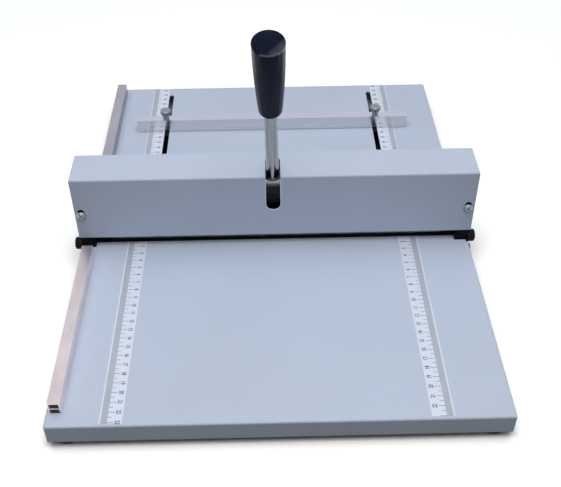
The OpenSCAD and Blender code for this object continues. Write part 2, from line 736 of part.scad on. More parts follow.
// Fences: a hollow section with a web half way up
front_fence_y = [13 - front_depth, -34];
rear_fence_y = [30, rear_depth - 11];
fence_cell = (fence_h - 3 * fence_wall) / 2;

module fence_section(length) difference() {
    cube([fence_w, length, fence_h]);
    for (i = [0, 1]) translate([fence_wall, -1, fence_wall + i * (fence_cell + fence_wall)])
        cube([fence_w - 2 * fence_wall, length + 2, fence_cell]);
}

fence_screw_r = 1.6;
fence_screw_end = 20;
function fence_screw_at(span) = [for (i = [0:2])
    span[0] + fence_screw_end + (span[1] - span[0] - 2 * fence_screw_end) * i / 2];
module fence_holes(span) for (y = fence_screw_at(span))
    translate([fence_x + fence_w / 2, y, -3]) cylinder(h = 3 + fence_wall + 1, r = fence_screw_r);

module front_fence() color("silver") from_crease() difference() {
    translate([fence_x, front_fence_y[0], 0]) fence_section(front_fence_y[1] - front_fence_y[0]);
    fence_holes(front_fence_y);
}
module rear_fence() color("silver") from_crease() difference() {
    translate([fence_x, rear_fence_y[0], 0]) fence_section(rear_fence_y[1] - rear_fence_y[0]);
    fence_holes(rear_fence_y);
}

fence_head_h = 2;
fence_head_r = 3.2;
fence_head_low_r = 2.4;

module fence_screws() color("gray") from_crease()
    for (y = concat(fence_screw_at(front_fence_y), fence_screw_at(rear_fence_y)))
        translate([fence_x + fence_w / 2, y, 0]) {
            translate([0, 0, -sheet_t - 0.1]) cylinder(h = sheet_t + fence_wall + 2, r = fence_screw_r);
            translate([0, 0, -sheet_t - fence_head_h])
                cylinder(h = fence_head_h, r1 = fence_head_low_r, r2 = fence_head_r);
        }

module back_gauge() color("silver") from_crease() difference() {
    translate([-gauge_len / 2, gauge_y, gauge_lift]) difference() {
        cube([gauge_len, gauge_d, gauge_top - gauge_lift]);
        translate([-1, gauge_wall, gauge_wall])
            cube([gauge_len + 2, gauge_d - 2 * gauge_wall, gauge_top - gauge_lift - 2 * gauge_wall]);
    }
    for (x = slot_places) translate([x, gauge_screw_y, 0])
        cylinder(h = gauge_top + 1, r = thumb_shank_r + run);
}

// A thumb screw: a neck, a cone that widens to a knurled rim, and a shank down to its nut
knurls = 24;
knurl_w = 0.5;
thumb_points = [
    [0, 0], [thumb_neck_r, 0], [thumb_neck_r, thumb_neck_h],
    [thumb_r - thumb_chamfer, thumb_neck_h + thumb_cone_h],
    [thumb_r, thumb_neck_h + thumb_cone_h],
    [thumb_r, thumb_neck_h + thumb_cone_h + thumb_rim_h - thumb_chamfer],
    [thumb_r - thumb_chamfer, thumb_neck_h + thumb_cone_h + thumb_rim_h],
    [0, thumb_neck_h + thumb_cone_h + thumb_rim_h]];

module thumb_screw() translate([0, gauge_screw_y, 0]) {
    translate([0, 0, -sheet_t - clear - nut_t - 1.5])
        cylinder(h = gauge_top + sheet_t + clear + nut_t + 2.5, r = thumb_shank_r);
    translate([0, 0, gauge_top + run]) difference() {
        rotate_extrude() polygon(thumb_points);
        for (i = [0:knurls - 1]) rotate([0, 0, 360 * i / knurls])
            translate([thumb_r, 0, thumb_neck_h + thumb_cone_h + knurl_w]) rotate([0, 0, 45])
                cube([knurl_w, knurl_w, thumb_rim_h - 2 * knurl_w - thumb_chamfer]);
    }
}

module thumb_screw_left() color("silver") from_crease() translate([-slot_left, 0, 0]) thumb_screw();
module thumb_screw_right() color("silver") from_crease() translate([slot_right, 0, 0]) thumb_screw();

// Clamp nuts: a plate under the table, with a key that runs in the slot
module clamp_nuts() color("#26282c") from_crease() for (x = slot_places)
    translate([x, gauge_screw_y, 0]) difference() {
        union() {
            translate([-nut_w / 2, -nut_len / 2, -sheet_t - clear - nut_t]) cube([nut_w, nut_len, nut_t]);
            translate([-gauge_slot_w / 2 + 0.3, -nut_len / 2, -sheet_t - clear - eps])
                cube([gauge_slot_w - 0.6, nut_len, sheet_t + eps]);
        }
        translate([0, 0, -10]) cylinder(h = 20, r = thumb_shank_r + run);
    }

function foot_centres() = [for (x = [-1, 1], y = [-front_depth + foot_inset, rear_depth - foot_inset])
    [x * (half_w - foot_inset), y]];

foot_chamfer = 1;
foot_recess_r = 5.2;
foot_floor_t = 3.4;
foot_head_r = 4.6;
foot_head_h = 2.4;
foot_nut_r = 4.6;
foot_nut_h = 4;

module rubber_feet() color("#18181a") from_crease() for (c = foot_centres())
    translate([c[0], c[1], -table_z]) difference() {
        union() {
            cylinder(h = foot_chamfer, r1 = foot_d / 2 - foot_chamfer, r2 = foot_d / 2);
            translate([0, 0, foot_chamfer]) cylinder(h = foot_h - foot_chamfer, r = foot_d / 2);
        }
        translate([0, 0, -1]) cylinder(h = foot_h - foot_floor_t + 1, r = foot_recess_r);
        cylinder(h = foot_h + 1, r = bolt_r);
    }

module foot_screws() color("gray") from_crease() for (c = foot_centres())
    translate([c[0], c[1], -table_z + foot_h - foot_floor_t]) {
        translate([0, 0, -foot_head_h]) cylinder(h = foot_head_h, r1 = foot_head_r - 1, r2 = foot_head_r);
        cylinder(h = foot_floor_t + sheet_t + foot_nut_h + 1.5, r = bolt_r);
    }

module foot_nuts() color("gray") from_crease() for (c = foot_centres())
    translate([c[0], c[1], -lip_h + sheet_t]) difference() {
        cylinder(h = foot_nut_h, r = foot_nut_r, $fn = 6);
        translate([0, 0, -1]) cylinder(h = foot_nut_h + 2, r = bolt_r);
    }

front_table();
rear_table();
die_bar();
crease_plate();
crease_plate_screws();
side_plate_left();
side_plate_right();
guide_block_left();
guide_block_right();
frame_bolts();
frame_washers();
table_bolts();
cover();
cover_screws();
shaft_bushes();
main_shaft();
cam_left();
cam_right();
cam_set_screws();
shaft_sleeves();
lever_hub();
lever_rod();
lever_grip();
grip_cap();
press_beam();
crease_blade();
blade_clamp();
blade_screws();
wear_pads();
spring_pins();
return_springs();
front_scale_left();
front_scale_right();
rear_scale_left();
rear_scale_right();
front_fence();
rear_fence();
fence_screws();
back_gauge();
thumb_screw_left();
thumb_screw_right();
clamp_nuts();
rubber_feet();
foot_screws();
foot_nuts();
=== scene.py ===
import math

import bmesh
import bpy
from mathutils import Euler, Matrix, Vector


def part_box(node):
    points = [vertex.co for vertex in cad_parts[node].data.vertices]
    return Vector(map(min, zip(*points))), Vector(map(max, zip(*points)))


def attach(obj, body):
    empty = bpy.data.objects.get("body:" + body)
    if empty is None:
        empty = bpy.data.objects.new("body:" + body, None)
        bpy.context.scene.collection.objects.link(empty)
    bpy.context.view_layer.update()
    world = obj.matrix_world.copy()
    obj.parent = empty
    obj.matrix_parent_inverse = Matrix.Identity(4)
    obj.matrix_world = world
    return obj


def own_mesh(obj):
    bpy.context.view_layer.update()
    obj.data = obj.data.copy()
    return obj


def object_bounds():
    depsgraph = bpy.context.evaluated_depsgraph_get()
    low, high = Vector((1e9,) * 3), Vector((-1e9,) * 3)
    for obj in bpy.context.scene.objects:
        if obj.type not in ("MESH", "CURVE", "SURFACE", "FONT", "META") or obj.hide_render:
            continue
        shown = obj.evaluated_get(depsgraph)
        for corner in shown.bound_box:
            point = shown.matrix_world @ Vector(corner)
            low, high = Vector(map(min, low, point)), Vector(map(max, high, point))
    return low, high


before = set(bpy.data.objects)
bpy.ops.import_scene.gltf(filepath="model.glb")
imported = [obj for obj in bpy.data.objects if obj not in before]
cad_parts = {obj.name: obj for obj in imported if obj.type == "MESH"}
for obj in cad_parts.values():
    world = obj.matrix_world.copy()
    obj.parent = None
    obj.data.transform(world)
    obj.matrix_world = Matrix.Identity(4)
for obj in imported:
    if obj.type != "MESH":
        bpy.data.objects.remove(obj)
cad_low, cad_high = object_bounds()

MM = 0.001

# Camera: where the photographer stood, in the model's frame. Turns are in degrees, and the
# lens is in millimetres.
CAMERA_PLACE = (-0.00666, -0.67598, 0.58142)
CAMERA_TURN = (48.945, 0.504, -1.206)
CAMERA_LENS = 55.84
CAMERA_SHIFT_X = 0.0053

# As in the model: the crease line's place, the lever's axis and lean, its hub and the wide
# mouth of the hub's bore.
CREASE_Y = -17.85 * MM
LEVER_AXIS = Vector((-1.6 * MM, CREASE_Y, 82 * MM))
LEVER_LEAN = math.radians(18)
LEVER_TILT = math.radians(0.7)
HUB_RADIUS = 17 * MM
SPOT_RADIUS = 7.3 * MM

# The tint that changes no colour.
NO_TINT = (1, 1, 1)


def srgb(red, green, blue):
    """A colour of 0 to 255 values, as the linear colour that a shader takes."""
    def linear(value):
        value /= 255
        return value / 12.92 if value <= 0.04045 else ((value + 0.055) / 1.055) ** 2.4
    return (linear(red), linear(green), linear(blue), 1.0)


def add_object(name, data):
    """A new object of the scene, with this data."""
    made = bpy.data.objects.new(name, data)
    bpy.context.scene.collection.objects.link(made)
    return made


def math_node(nodes, links, operation, *inputs):
    """A math node with these sockets linked to it."""
    node = nodes.new("ShaderNodeMath")
    node.operation = operation
    for source, socket in zip(inputs, node.inputs):
        links.new(source, socket)
    return node


class Finish:
    """A node material. Its patterns lie in object coordinates, so they stay on the piece."""

    # Most of a noise lies between these values.
    NOISE_LOW = 0.3
    NOISE_HIGH = 0.7

    def __init__(self, name, colour, roughness, metallic=0.0, **sockets):
        self.material = bpy.data.materials.new(name)
        self.material.use_nodes = True
        self.nodes = self.material.node_tree.nodes
        self.links = self.material.node_tree.links
        self.surface = self.nodes["Principled BSDF"]
        self.surface.inputs["Base Color"].default_value = colour
        self.surface.inputs["Roughness"].default_value = roughness
        self.surface.inputs["Metallic"].default_value = metallic
        for socket, value in sockets.items():
            self.surface.inputs[socket.replace("_", " ")].default_value = value
        self.colour = colour
        coordinates = self.nodes.new("ShaderNodeTexCoord")
        self.place = coordinates.outputs["Object"]
        self.faces = coordinates.outputs["Normal"]
        self.bumped = None

    def noise(self, size, stretch=(1, 1, 1), detail=3.0):
        """Noise with grains of this size, drawn out by stretch along X, Y and Z."""
        mapping = self.nodes.new("ShaderNodeMapping")
        mapping.inputs["Scale"].default_value = [1 / (size * s) for s in stretch]
        self.links.new(self.place, mapping.inputs["Vector"])
        noise = self.nodes.new("ShaderNodeTexNoise")
        noise.inputs["Scale"].default_value = 1.0
        noise.inputs["Detail"].default_value = detail
        self.links.new(mapping.outputs["Vector"], noise.inputs["Vector"])
        return noise.outputs["Fac"]

    def spread(self, pattern, low, high):
        """A noise, with its middle range spread over low to high."""
        ramp = self.nodes.new("ShaderNodeMapRange")
        ramp.inputs["From Min"].default_value = self.NOISE_LOW
        ramp.inputs["From Max"].default_value = self.NOISE_HIGH
        ramp.inputs["To Min"].default_value = low
        ramp.inputs["To Max"].default_value = high
        self.links.new(pattern, ramp.inputs["Value"])
        return ramp.outputs["Result"]

    def tone(self, pattern, low, high):
        """The base colour varies with the pattern, from low to high times itself."""
        mix = self.nodes.new("ShaderNodeVectorMath")
        mix.operation = "SCALE"
        socket = self.surface.inputs["Base Color"]
        if socket.is_linked:
            self.links.new(socket.links[0].from_socket, mix.inputs[0])
        else:
            mix.inputs[0].default_value = self.colour[:3]
        self.links.new(self.spread(pattern, low, high), mix.inputs["Scale"])
        self.links.new(mix.outputs["Vector"], socket)
        return self

    def rough(self, pattern, low, high):
        """The roughness follows the pattern, from low to high."""
        self.links.new(self.spread(pattern, low, high), self.surface.inputs["Roughness"])
        return self

    def gloss(self, pattern, low, high):
        """The strength of the reflections follows the pattern, from low to high."""
        strength = self.spread(pattern, low, high)
        self.links.new(strength, self.surface.inputs["Specular IOR Level"])
        return self

    def facing(self, low, high, side_tint, top_tint):
        """Paints light or shade by facing: it tints the patterned base colour, by side_tint
        where the normal's height is low and by top_tint where it is high."""
        axes = self.nodes.new("ShaderNodeSeparateXYZ")
        self.links.new(self.faces, axes.inputs["Vector"])
        ramp = self.nodes.new("ShaderNodeMapRange")
        ramp.data_type = "FLOAT_VECTOR"
        # the vector sockets in use: the value itself, then both ends of both ranges
        value, *ends = [socket for socket in ramp.inputs
                        if socket.enabled and socket.type == "VECTOR"]
        for end, limit in zip(ends, ((low,) * 3, (high,) * 3, side_tint, top_tint)):
            end.default_value = limit
        self.links.new(axes.outputs["Z"], value)
        mix = self.nodes.new("ShaderNodeVectorMath")
        mix.operation = "MULTIPLY"
        socket = self.surface.inputs["Base Color"]
        self.links.new(socket.links[0].from_socket, mix.inputs[0])
        self.links.new(ramp.outputs["Vector"], mix.inputs[1])
        self.links.new(mix.outputs["Vector"], socket)
        return self

    def turned(self, direction, unevenness, grain):
        """A pattern that grows as the surface faces a direction, with some noise added."""
        facing = self.nodes.new("ShaderNodeVectorMath")
        facing.operation = "DOT_PRODUCT"
        self.links.new(self.faces, facing.inputs[0])
        facing.inputs[1].default_value = direction
        border = math_node(self.nodes, self.links, "MULTIPLY_ADD", self.noise(grain))
        border.inputs[1].default_value = unevenness
        self.links.new(facing.outputs["Value"], border.inputs[2])
        return border.outputs["Value"]

    def bump(self, pattern, height):
        """The surface rises and falls with the pattern by up to height."""
        bump = self.nodes.new("ShaderNodeBump")
        bump.inputs["Distance"].default_value = height
        self.links.new(pattern, bump.inputs["Height"])
        if self.bumped:
            self.links.new(self.bumped, bump.inputs["Normal"])
        self.bumped = bump.outputs["Normal"]
        self.links.new(self.bumped, self.surface.inputs["Normal"])
        return self


def table_paint():
    """Light blue-grey powder coat: fine orange peel and faint clouds."""
    paint = Finish("table_paint", srgb(186, 197, 217), 0.46, Specular_IOR_Level=0.25)
    paint.tone(paint.noise(90 * MM, detail=2), 0.985, 1.015)
    paint.tone(paint.noise(0.9 * MM, detail=1), 0.985, 1.012)
    paint.rough(paint.noise(25 * MM), 0.42, 0.52)
    paint.bump(paint.noise(1.3 * MM, detail=2), 0.02 * MM)
    return paint


def black_paint():
    """Black satin paint on the side frames, guide blocks and die bar."""
    paint = Finish("black_paint", srgb(9, 12, 17), 0.4, Specular_IOR_Level=0.06)
    paint.tone(paint.noise(6 * MM), 0.7, 1.3)
    paint.rough(paint.noise(12 * MM), 0.36, 0.52)
    paint.bump(paint.noise(0.8 * MM, detail=2), 0.02 * MM)
    return paint


def black_steel():
    """Black oxide on screws and washers: dark, slightly violet, with worn spots."""
    steel = Finish("black_steel", srgb(14, 13, 19), 0.34, Specular_IOR_Level=0.08)
    steel.tone(steel.noise(3 * MM), 0.6, 1.4)
    steel.rough(steel.noise(2 * MM), 0.3, 0.5)
    steel.bump(steel.noise(0.3 * MM), 0.01 * MM)
    return steel


def hub_black():
    """Polished black oxide of the lever's hub, with painted shade: much darker where it doesn't
    look up.
    """
    steel = Finish("hub_black", srgb(92, 94, 102), 0.2, metallic=1.0)
    steel.tone(steel.noise(4 * MM), 0.8, 1.2)
    # painted shade: the part of the hub that faces down, in the cover's shade, is tinted dark
    steel.facing(0.5, 0.75, (0.12, 0.12, 0.14), NO_TINT)
    steel.rough(steel.noise(2 * MM), 0.16, 0.3)
    steel.bump(steel.noise(0.3 * MM, stretch=(40, 1, 1)), 0.005 * MM)
    return steel


def dark_steel():
    """Blackened bar steel of the shaft and beam, drawn along the crease."""
    steel = Finish("dark_steel", srgb(88, 88, 94), 0.36, metallic=1.0)
    steel.tone(steel.noise(1.2 * MM, stretch=(40, 1, 1)), 0.8, 1.2)
    steel.rough(steel.noise(10 * MM), 0.3, 0.45)
    steel.bump(steel.noise(0.4 * MM, stretch=(60, 1, 1)), 0.008 * MM)
    return steel


def ground_steel():
    """Ground steel of the crease plate, blade and clamp."""
    steel = Finish("ground_steel", srgb(188, 190, 194), 0.28, metallic=1.0)
    steel.tone(steel.noise(0.5 * MM, stretch=(50, 1, 1)), 0.85, 1.1)
    steel.rough(steel.noise(0.8 * MM, stretch=(30, 1, 1)), 0.2, 0.36)
    steel.bump(steel.noise(0.3 * MM, stretch=(80, 1, 1)), 0.006 * MM)
    return steel


def plated_steel():
    """Bright nickel or zinc on screws and springs."""
    steel = Finish("plated_steel", srgb(146, 149, 155), 0.24, metallic=1.0)
    steel.tone(steel.noise(1.5 * MM), 0.7, 1.15)
    steel.rough(steel.noise(1 * MM), 0.16, 0.34)
    steel.bump(steel.noise(0.25 * MM), 0.006 * MM)
    return steel


def rod_chrome():
    """Chromed lever rod, polished along its length."""
    chrome = Finish("rod_chrome", srgb(190, 189, 184), 0.12, metallic=1.0)
    chrome.tone(chrome.noise(1.1 * MM, stretch=(1, 18, 60)), 0.72, 1.1)
    chrome.rough(chrome.noise(1.5 * MM, stretch=(1, 8, 30)), 0.08, 0.22)
    chrome.bump(chrome.noise(0.5 * MM, stretch=(1, 10, 40)), 0.006 * MM)
    return chrome


def grip_plastic():
    """Glossy black moulded plastic of the lever's grip."""
    plastic = Finish("grip_plastic", srgb(16, 22, 44), 0.14)
    plastic.tone(plastic.noise(8 * MM), 0.8, 1.2)
    plastic.gloss(plastic.noise(40 * MM, detail=0), 0.06, 0.16)
    plastic.rough(plastic.noise(4 * MM), 0.12, 0.24)
    plastic.bump(plastic.noise(3 * MM, detail=1), 0.015 * MM)
    return plastic


def cap_plastic():
    """The grip's cap: the same plastic, dull but for a painted highlight on its front right
    rim.
    """
    plastic = Finish("cap_plastic", srgb(19, 24, 43), 0.1)
    front_right = plastic.turned((1.7, -1.34, -0.44), unevenness=0.2, grain=7 * MM)
    plastic.tone(plastic.noise(8 * MM), 0.8, 1.2)
    # painted highlight: reflection strength follows which way the surface faces, strongest at
    # the front right rim
    plastic.gloss(front_right, 0.02, 1.0)
    plastic.rough(plastic.noise(5 * MM), 0.08, 0.2)
    plastic.bump(plastic.noise(5 * MM, detail=0), 0.05 * MM)
    return plastic


def edge_paint():
    """A painted highlight: near-white paint along the edge of the lever's slot."""
    paint = Finish("edge_paint", srgb(236, 238, 242), 0.35)
    paint.tone(paint.noise(3 * MM), 0.8, 1.1)
    paint.rough(paint.noise(2 * MM), 0.3, 0.45)
    return paint


def bronze():
    """Turned bronze of the shaft bushes and wear pads."""
    metal = Finish("bronze", srgb(196, 160, 96), 0.34, metallic=1.0)
    metal.tone(metal.noise(2 * MM), 0.85, 1.1)
    metal.rough(metal.noise(1 * MM), 0.28, 0.42)
    metal.bump(metal.noise(0.3 * MM), 0.008 * MM)
    return metal


def scale_film():
    """White printed film of the scales."""
    film = Finish("scale_film", srgb(214, 222, 240), 0.38,
                  Coat_Weight=0.3, Coat_Roughness=0.2)
    film.tone(film.noise(30 * MM), 0.975, 1.01)
    film.rough(film.noise(8 * MM), 0.32, 0.44)
    film.bump(film.noise(4 * MM, detail=1), 0.01 * MM)
    return film


def scale_ink():
    """Dark ink of the scales' lines and numbers."""
    ink = Finish("scale_ink", srgb(34, 37, 52), 0.45)
    ink.tone(ink.noise(0.6 * MM), 0.75, 1.25)
    ink.rough(ink.noise(2 * MM), 0.4, 0.5)
    return ink


def mill_aluminium(name, colour):
    """Extruded aluminium of a fence: drawn lines along Y, rosy grey."""
    metal = Finish(name, colour, 0.36, metallic=1.0)
    metal.tone(metal.noise(0.5 * MM, stretch=(1, 120, 1)), 0.93, 1.04)
    metal.tone(metal.noise(11 * MM, stretch=(1, 2.5, 1)), 0.9, 1.08)
    metal.rough(metal.noise(0.8 * MM, stretch=(1, 60, 1)), 0.28, 0.44)
    metal.bump(metal.noise(0.35 * MM, stretch=(1, 160, 1)), 0.01 * MM)
    return metal


def front_aluminium():
    """The front fence, its top darkened by painted shade."""
    metal = mill_aluminium("front_aluminium", srgb(239, 227, 228))
    # painted shade: the upward-facing top is tinted darker
    metal.facing(0.4, 0.8, NO_TINT, (0.77, 0.78, 0.82))
    return metal


def rear_aluminium():
    """The rear fence, dull all over."""
    return mill_aluminium("rear_aluminium", srgb(166, 165, 177))


def bright_aluminium():
    """Bright-drawn aluminium of the back gauge, brushed along X, with painted shade making its
    top darker and bluer.
    """
    metal = Finish("bright_aluminium", srgb(228, 227, 229), 0.2, metallic=1.0)
    metal.tone(metal.noise(0.5 * MM, stretch=(150, 1, 1)), 0.86, 1.06)
    # painted shade: the upward-facing top is tinted darker and bluer
    metal.facing(0.4, 0.8, NO_TINT, (0.67, 0.69, 0.83))
    metal.rough(metal.noise(0.7 * MM, stretch=(80, 1, 1)), 0.12, 0.3)
    metal.bump(metal.noise(0.3 * MM, stretch=(200, 1, 1)), 0.006 * MM)
    return metal


def foot_rubber():
    """Black rubber of the feet."""
    rubber = Finish("foot_rubber", srgb(36, 36, 37), 0.8)
    rubber.tone(rubber.noise(3 * MM), 0.75, 1.3)
    rubber.rough(rubber.noise(2 * MM), 0.7, 0.9)
    rubber.bump(rubber.noise(0.4 * MM), 0.03 * MM)
    return rubber


# Which finish each piece of the model wears.
FINISHES = {
    table_paint: ["front_table", "rear_table", "cover"],
    black_paint: ["die_bar", "side_plate_left", "side_plate_right",
                  "guide_block_left", "guide_block_right"],
    black_steel: ["frame_bolts", "frame_washers", "table_bolts", "cam_set_screws",
                  "foot_nuts", "crease_plate_screws", "blade_screws", "clamp_nuts"],
    hub_black: ["lever_hub"],
    dark_steel: ["main_shaft", "press_beam", "cam_left", "cam_right", "shaft_sleeves"],
    ground_steel: ["crease_plate", "crease_blade", "blade_clamp", "spring_pins"],
    plated_steel: ["cover_screws", "thumb_screw_left", "thumb_screw_right",
                   "fence_screws", "foot_screws", "return_springs"],
    rod_chrome: ["lever_rod"],
    grip_plastic: ["lever_grip"],
    cap_plastic: ["grip_cap"],
    bronze: ["shaft_bushes", "wear_pads"],
    scale_film: ["front_scale_left", "front_scale_right", "rear_scale_left",
                 "rear_scale_right"],
    front_aluminium: ["front_fence"],
    rear_aluminium: ["rear_fence"],
    bright_aluminium: ["back_gauge"],
    foot_rubber: ["rubber_feet"],
}


def dress_model():
    """Every piece of the model gets its finish."""
    for make, nodes in FINISHES.items():
        finish = make()
        for node in nodes:
            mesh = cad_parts[node].data
            mesh.materials.clear()
            mesh.materials.append(finish.material)


def squash_springs():
    """The return springs get a mesh of their own."""
    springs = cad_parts["return_springs"]
    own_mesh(springs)


def add_piece(name, mesh, material, body):
    """Makes a piece from a bmesh, in its finish, riding on a body of the model."""
    data = bpy.data.meshes.new(name)
    mesh.to_mesh(data)
    mesh.free()
    data.materials.append(material)
    piece = add_object(name, data)
    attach(piece, body)
    return piece


# Printed scales: the bare outer edge of each, how far its zero is from the crease, and its run,
# 1 to the rear or -1 to the front.
SCALES = {
    "front_scale_left": (1.3 * MM, 1.95 * MM, -1),
    "front_scale_right": (1.3 * MM, 2.75 * MM, -1),
    "rear_scale_left": (0.8 * MM, 5.5 * MM, 1),
    "rear_scale_right": (0.8 * MM, 7.0 * MM, 1),
}

PRINT_HEIGHT = 0.03 * MM
LINE_WIDTH = 0.36 * MM
# Length of a millimetre's line, and how much longer those of 10 and 5 millimetres are
BAND_LENGTH = 5.3 * MM
CENTIMETRE_LENGTH = 5.3 * MM
HALF_LENGTH = 3.0 * MM
NUMBER_GAP = 0.9 * MM
NUMBER_SIZE = 5.2 * MM
NUMBER_HEIGHT = 0.7 * NUMBER_SIZE
NUMBER_BOLD = 0.1 * MM
NUMBER_SQUEEZE = 0.74
NUMBER_ROUNDNESS = 3
# Millimetres of strip that a number needs towards the crease and away from it
ROOM_BEFORE = 3
ROOM_AFTER = 1
WELD = 0.0005 * MM


def add_block(mesh, low, high):
    """Adds a closed block between two corners to the mesh."""
    middle = (Vector(low) + Vector(high)) / 2
    size = Vector(high) - Vector(low)
    block = bmesh.ops.create_cube(mesh, size=1.0)
    bmesh.ops.scale(mesh, vec=size, verts=block["verts"])
    bmesh.ops.translate(mesh, vec=middle, verts=block["verts"])


def number_mesh(number):
    """The number as a thin closed mesh, its middle on the origin."""
    letters = bpy.data.curves.new("number", "FONT")
    letters.body = str(number)
    letters.size = NUMBER_SIZE
    letters.align_x = "CENTER"
    letters.align_y = "CENTER"
    letters.offset = NUMBER_BOLD
    letters.extrude = PRINT_HEIGHT / 2
    letters.resolution_u = NUMBER_ROUNDNESS
    holder = add_object("number", letters)
    shapes = bpy.context.evaluated_depsgraph_get()
    mesh = bpy.data.meshes.new_from_object(holder.evaluated_get(shapes))
    bpy.data.objects.remove(holder)
    bpy.data.curves.remove(letters)
    return mesh


def scale_print(strip, margin, zero, along, ink):
    """Prints a strip: a line at each millimetre, longer ones at each 5 and 10, and numbers."""
    low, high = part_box(strip)
    side = math.copysign(1, low.x)
    outer_x = high.x if side > 0 else low.x
    band_x = outer_x - side * margin
    near, far = (low.y, high.y) if along > 0 else (high.y, low.y)
    first = math.ceil((along * (near - CREASE_Y) + LINE_WIDTH / 2 - zero) / MM)
    last = math.floor((along * (far - CREASE_Y) - LINE_WIDTH / 2 - zero) / MM)
    mesh = bmesh.new()
    for step in range(first, last + 1):
        y = CREASE_Y + along * (zero + step * MM)
        length = BAND_LENGTH
        if step % 10 == 0:
            length += CENTIMETRE_LENGTH
        elif step % 5 == 0:
            length += HALF_LENGTH
        inner_x = band_x - side * length
        add_block(mesh,
                  (min(band_x, inner_x), y - LINE_WIDTH / 2, high.z - PRINT_HEIGHT / 2),
                  (max(band_x, inner_x), y + LINE_WIDTH / 2, high.z + PRINT_HEIGHT))

    number_middle = BAND_LENGTH + CENTIMETRE_LENGTH + NUMBER_GAP + NUMBER_HEIGHT / 2
    number_x = band_x - side * number_middle
    turn = Euler((0, 0, side * math.pi / 2)).to_matrix().to_4x4()
    squeeze = Matrix.Diagonal((NUMBER_SQUEEZE, 1, 1, 1))
    lowest = math.ceil((first + ROOM_BEFORE) / 10)
    highest = math.floor((last - ROOM_AFTER) / 10)
    for number in range(lowest, highest + 1):
        glyphs = number_mesh(number)
        y = CREASE_Y + along * (zero + number * 10 * MM)
        place = Matrix.Translation((number_x, y, high.z + PRINT_HEIGHT / 2))
        glyphs.transform(place @ turn @ squeeze)
        mesh.from_mesh(glyphs)
        bpy.data.meshes.remove(glyphs)

    bmesh.ops.remove_doubles(mesh, verts=mesh.verts, dist=WELD)
    add_piece(strip.replace("scale", "print"), mesh, ink, "base")


def print_scales():
    """The four printed scales, two on each table."""
    ink = scale_ink().material
    for strip, (margin, zero, along) in SCALES.items():
        scale_print(strip, margin, zero, along, ink)


# Thin bright edges: the mouth of the lever's hub, and a painted highlight along the cover's
# slot for the lever.
RIM_RADIUS = 0.5 * MM
EDGE_RADIUS = 0.28 * MM
# How far under the cover's top the slot's edge ends
EDGE_END = 3 * MM
# As in the model: half the slot's width, and its lowest point over the tables
SLOT_RADIUS = 6.9 * MM
SLOT_LOW = 41 * MM
ROUND_STEPS = 72
TUBE_SIDES = 10


def tube_mesh(points, radius, up, closed):
    """A round tube along points that lie nearly in a plane across up."""
    mesh = bmesh.new()
    count = len(points)
    rings = []
    for i, point in enumerate(points):
        before = points[i - 1] if closed or i > 0 else point
        after = points[(i + 1) % count] if closed or i < count - 1 else point
        ahead = (after - before).normalized()
        side = ahead.cross(up).normalized()
        lift = side.cross(ahead)
        ring = []
        for k in range(TUBE_SIDES):
            a = 2 * math.pi * k / TUBE_SIDES
            spoke = math.cos(a) * side + math.sin(a) * lift
            ring.append(mesh.verts.new(point + radius * spoke))
        rings.append(ring)
    for i in range(count if closed else count - 1):
        ring, after = rings[i], rings[(i + 1) % count]
        for k in range(TUBE_SIDES):
            m = (k + 1) % TUBE_SIDES
            mesh.faces.new((ring[k], ring[m], after[m], after[k])).smooth = True
    if not closed:
        mesh.faces.new(rings[0])
        mesh.faces.new(rings[-1])
    bmesh.ops.recalc_face_normals(mesh, faces=mesh.faces)
    return mesh


def hub_rim(material):
    """A bright worn edge round the mouth of the hub, along the line where its bore begins."""
    turn = Euler((LEVER_LEAN, 0, 0)).to_matrix() @ Euler((0, -LEVER_TILT, 0)).to_matrix()
    points = []
    for i in range(ROUND_STEPS):
        t = 2 * math.pi * i / ROUND_STEPS
        across = SPOT_RADIUS * math.sin(t)
        rise = math.sqrt(HUB_RADIUS ** 2 - across ** 2)
        points.append(LEVER_AXIS + turn @ Vector((SPOT_RADIUS * math.cos(t), across, rise)))
    mesh = tube_mesh(points, RIM_RADIUS, turn @ Vector((0, 0, 1)), True)
    add_piece("hub_rim", mesh, material, "lever")


def slot_edge(material):
    """A painted highlight on the cover's slot edge, down one side, round its foot and up the
    other.
    """
    low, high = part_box("cover")
    y = low.y + EDGE_RADIUS / 2
    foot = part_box("front_table")[1].z + SLOT_LOW + SLOT_RADIUS
    top = high.z - EDGE_END
    points = [Vector((LEVER_AXIS.x - SLOT_RADIUS, y, top))]
    for i in range(ROUND_STEPS // 2 + 1):
        t = math.pi + 2 * math.pi * i / ROUND_STEPS
        points.append(Vector((LEVER_AXIS.x + SLOT_RADIUS * math.cos(t), y,
                              foot + SLOT_RADIUS * math.sin(t))))
    points.append(Vector((LEVER_AXIS.x + SLOT_RADIUS, y, top)))
    mesh = tube_mesh(points, EDGE_RADIUS, Vector((0, 1, 0)), False)
    add_piece("slot_edge", mesh, material, "base")


# Studio: a white floor, a large soft lamp overhead and a warm one before the cover.
FLOOR_SIZE = 14.0
# The floor's colour beside the machine, its painted shadow under it, and its colour for the
# light that it throws back
FLOOR_SHOWN = (1.3, 1.3, 1.3, 1)
FLOOR_PAINTED_SHADOW = (0.03, 0.03, 0.03, 1)
FLOOR_BOUNCE = (0.05, 0.05, 0.05, 1)
# Width of the border between the painted shadow under the machine and the floor beside it
UNDER_EDGE = 15 * MM
# Distances from the machine's middle where the floor starts to turn plain, and where it is
FLOOR_PLAIN = (0.5, 1.0)
SKY_COLOUR = (0.95, 0.97, 1.0, 1)
SKY_LIGHT = 0.17
SKY_SHOWN = (1, 1, 1, 1)
# Each lamp's width, watts, place, the point that it faces, and its colour
KEY_LAMP = (4.0, 80, (-0.05, 0.1, 3.2), (0, 0, 0), (0.92, 0.97, 1.0))
FRONT_LAMP = (0.7, 3.5, (-0.02, -0.4, 0.95), (-0.02, -0.04, 0.08), (1.0, 0.93, 0.84))


